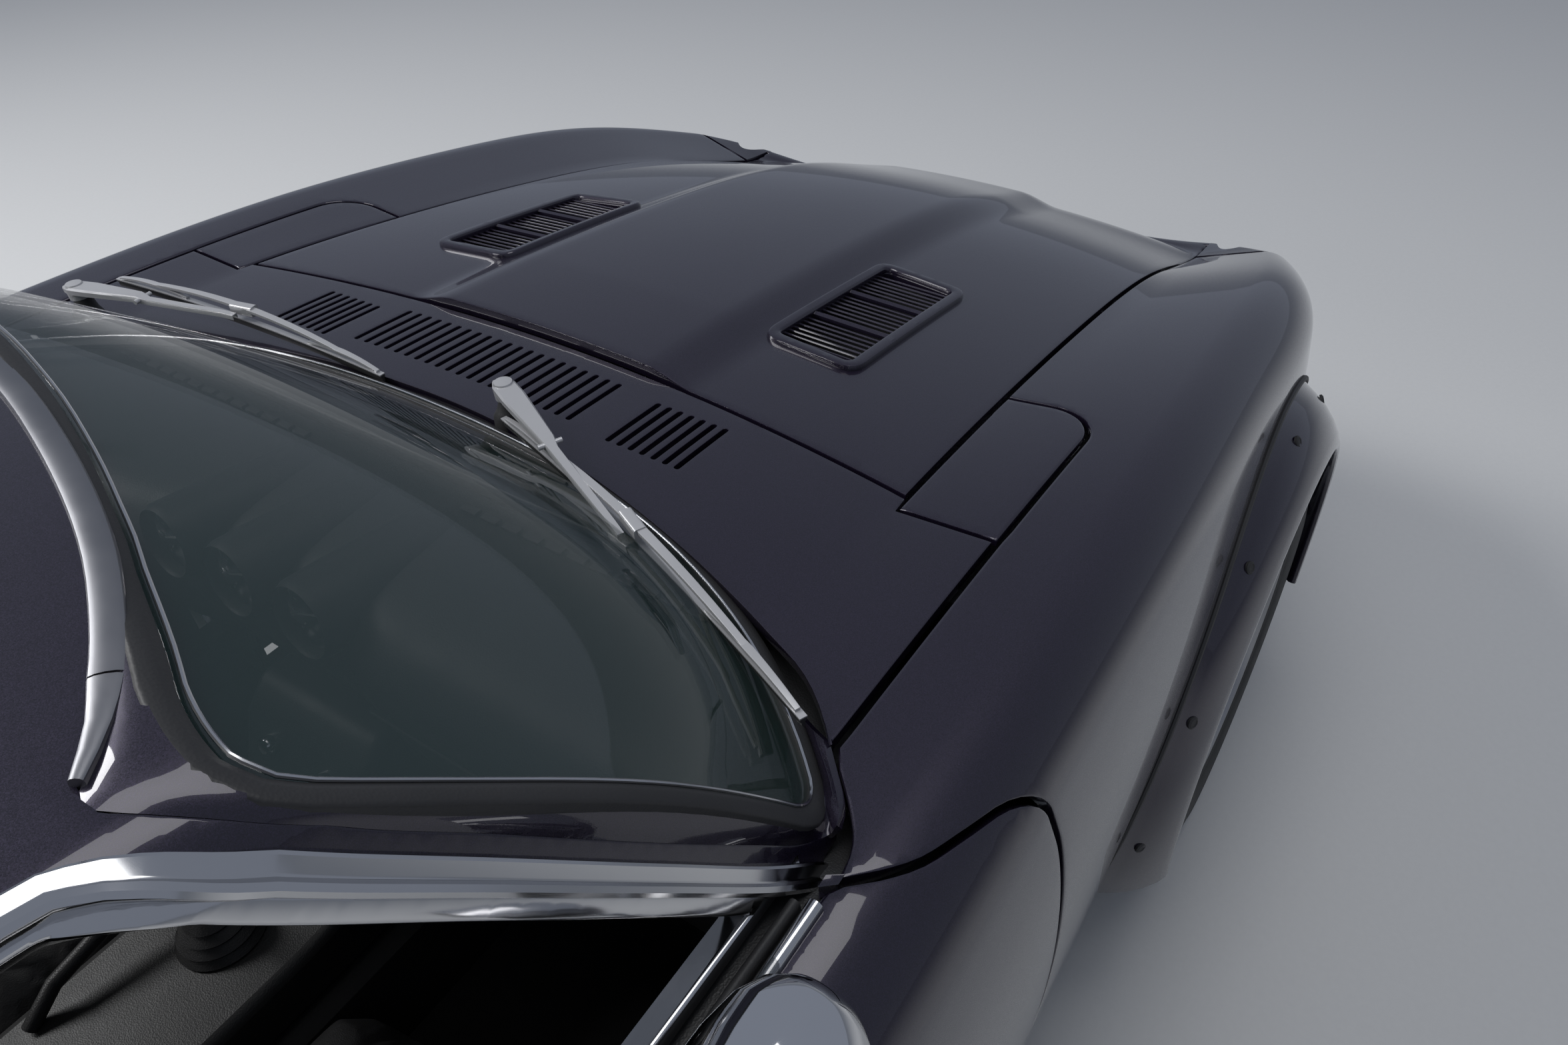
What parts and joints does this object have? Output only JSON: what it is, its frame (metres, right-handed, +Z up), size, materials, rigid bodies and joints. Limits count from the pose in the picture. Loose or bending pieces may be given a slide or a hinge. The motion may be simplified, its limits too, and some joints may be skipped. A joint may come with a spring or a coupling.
{
  "type": "sports car",
  "caption": "Two-seat fastback sports car with a long louvred bonnet, opening doors, tailgate and inspection lids, bolted wheel-arch flares and steering front wheels.",
  "frame": {"origin": "on the ground, in the middle of the car's length and width", "axes": "+X forward, +Y to the car's left, +Z up"},
  "size_m": [4.1149, 1.702, 1.2871],
  "materials": {
    "body_paint": "gloss metallic paint, a very dark aubergine",
    "glass": "clear glass with a faint green tint",
    "chrome": "polished chrome",
    "black_trim": "satin black",
    "lamp_glass": "clear glass",
    "amber_lens": "clear amber plastic",
    "red_lens": "clear red plastic",
    "underbody": "satin dark paint",
    "engine": "raw casting",
    "chassis_steel": "satin black paint",
    "alloy": "satin cast alloy",
    "tyre": "black rubber",
    "upholstery": "black grained vinyl",
    "dash_black": "black grained padding",
    "wheel_rim_black": "dark satin rim",
    "wiper_silver": "satin silver",
    "exhaust_steel": "dull steel"
  },
  "bodies": {
    "car_body": {"front_wings": "body_paint", "cowl_panel": "body_paint", "nose_panel": "body_paint", "grille": "black_trim", "headlamps": "lamp_glass", "front_lamps": "amber_lens", "front_bumper": "chrome", "rear_bumper": "chrome", "windscreen": "glass", "roof_panel": "body_paint", "side_frames": "body_paint", "quarter_windows": "glass", "rear_quarters": "body_paint", "tail_panel": "body_paint", "tail_lamps": "red_lens", "sills": "body_paint", "wheel_arch_flares": "body_paint", "floor_pan": "underbody", "engine_block": "engine", "front_suspension": "chassis_steel", "rear_suspension": "chassis_steel", "seat_left": "upholstery", "seat_right": "upholstery", "dashboard": "dash_black", "wipers": "wiper_silver", "exhaust": "exhaust_steel"},
    "bonnet_lid": {"bonnet": "body_paint", "bonnet_vents": "body_paint"},
    "left_lid": {"inspection_lid_left": "body_paint"},
    "right_lid": {"inspection_lid_right": "body_paint"},
    "left_door": {"door_left": "body_paint", "door_glass_left": "glass", "mirror_left": "chrome"},
    "right_door": {"door_right": "body_paint", "door_glass_right": "glass", "mirror_right": "chrome"},
    "liftgate": {"tailgate": "body_paint", "tailgate_glass": "glass"},
    "filler_door": {"fuel_filler_door": "body_paint"},
    "left_knuckle": {"knuckle_left": "chassis_steel"},
    "right_knuckle": {"knuckle_right": "chassis_steel"},
    "front_left_wheel": {"rim_front_left": "alloy", "tyre_front_left": "tyre"},
    "front_right_wheel": {"rim_front_right": "alloy", "tyre_front_right": "tyre"},
    "rear_left_wheel": {"rim_rear_left": "alloy", "tyre_rear_left": "tyre"},
    "rear_right_wheel": {"rim_rear_right": "alloy", "tyre_rear_right": "tyre"},
    "steering": {"steering_wheel": "wheel_rim_black"}
  },
  "joints": [
    {"name": "bonnet_hinge", "type": "hinge", "parent": "car_body", "child": "bonnet_lid", "pos_m": [1.9785, 0, 0.6], "axis": [0, 1, 0], "range_deg": [0, 60]},
    {"name": "left_lid_hinge", "type": "hinge", "parent": "car_body", "child": "left_lid", "pos_m": [0.6715, 0.641, 0.9052], "axis": [-0.9971, 0, 0.0766], "range_deg": [0, 85]},
    {"name": "right_lid_hinge", "type": "hinge", "parent": "car_body", "child": "right_lid", "pos_m": [0.6715, -0.641, 0.9052], "axis": [0.9971, 0, -0.0766], "range_deg": [0, 85]},
    {"name": "left_door_hinge", "type": "hinge", "parent": "car_body", "child": "left_door", "pos_m": [0.4595, 0.807, 0.45], "axis": [0, 0, -1], "range_deg": [0, 65]},
    {"name": "right_door_hinge", "type": "hinge", "parent": "car_body", "child": "right_door", "pos_m": [0.4595, -0.807, 0.45], "axis": [0, 0, 1], "range_deg": [0, 65]},
    {"name": "tailgate_hinge", "type": "hinge", "parent": "car_body", "child": "liftgate", "pos_m": [-0.7395, 0, 1.262], "axis": [0, 1, 0], "range_deg": [0, 68]},
    {"name": "filler_door_hinge", "type": "hinge", "parent": "car_body", "child": "filler_door", "pos_m": [-1.3315, -0.7978, 0.735], "axis": [0, 0.2163, 0.9763], "range_deg": [0, 90]},
    {"name": "left_steer", "type": "hinge", "parent": "car_body", "child": "left_knuckle", "pos_m": [1.2425, 0.672, 0.212], "axis": [0, -0.2386, 0.9711], "range_deg": [-30, 30]},
    {"name": "right_steer", "type": "hinge", "parent": "car_body", "child": "right_knuckle", "pos_m": [1.2425, -0.672, 0.212], "axis": [0, 0.2386, 0.9711], "range_deg": [-30, 30]},
    {"name": "front_left_spin", "type": "hinge", "parent": "left_knuckle", "child": "front_left_wheel", "pos_m": [1.2425, 0.735, 0.31], "axis": [0, 1, 0], "continuous": true},
    {"name": "front_right_spin", "type": "hinge", "parent": "right_knuckle", "child": "front_right_wheel", "pos_m": [1.2425, -0.735, 0.31], "axis": [0, 1, 0], "continuous": true},
    {"name": "rear_left_spin", "type": "hinge", "parent": "car_body", "child": "rear_left_wheel", "pos_m": [-1.0625, 0.735, 0.31], "axis": [0, 1, 0], "continuous": true},
    {"name": "rear_right_spin", "type": "hinge", "parent": "car_body", "child": "rear_right_wheel", "pos_m": [-1.0625, -0.735, 0.31], "axis": [0, 1, 0], "continuous": true},
    {"name": "steering_turn", "type": "hinge", "parent": "car_body", "child": "steering", "pos_m": [0.0925, 0.365, 0.85], "axis": [-0.9511, 0, 0.309], "range_deg": [-360, 360]}
  ],
  "couplings": [
    {"joint": "right_steer", "follows": "left_steer", "ratio": 1},
    {"joint": "steering_turn", "follows": "left_steer", "ratio": 12}
  ]
}
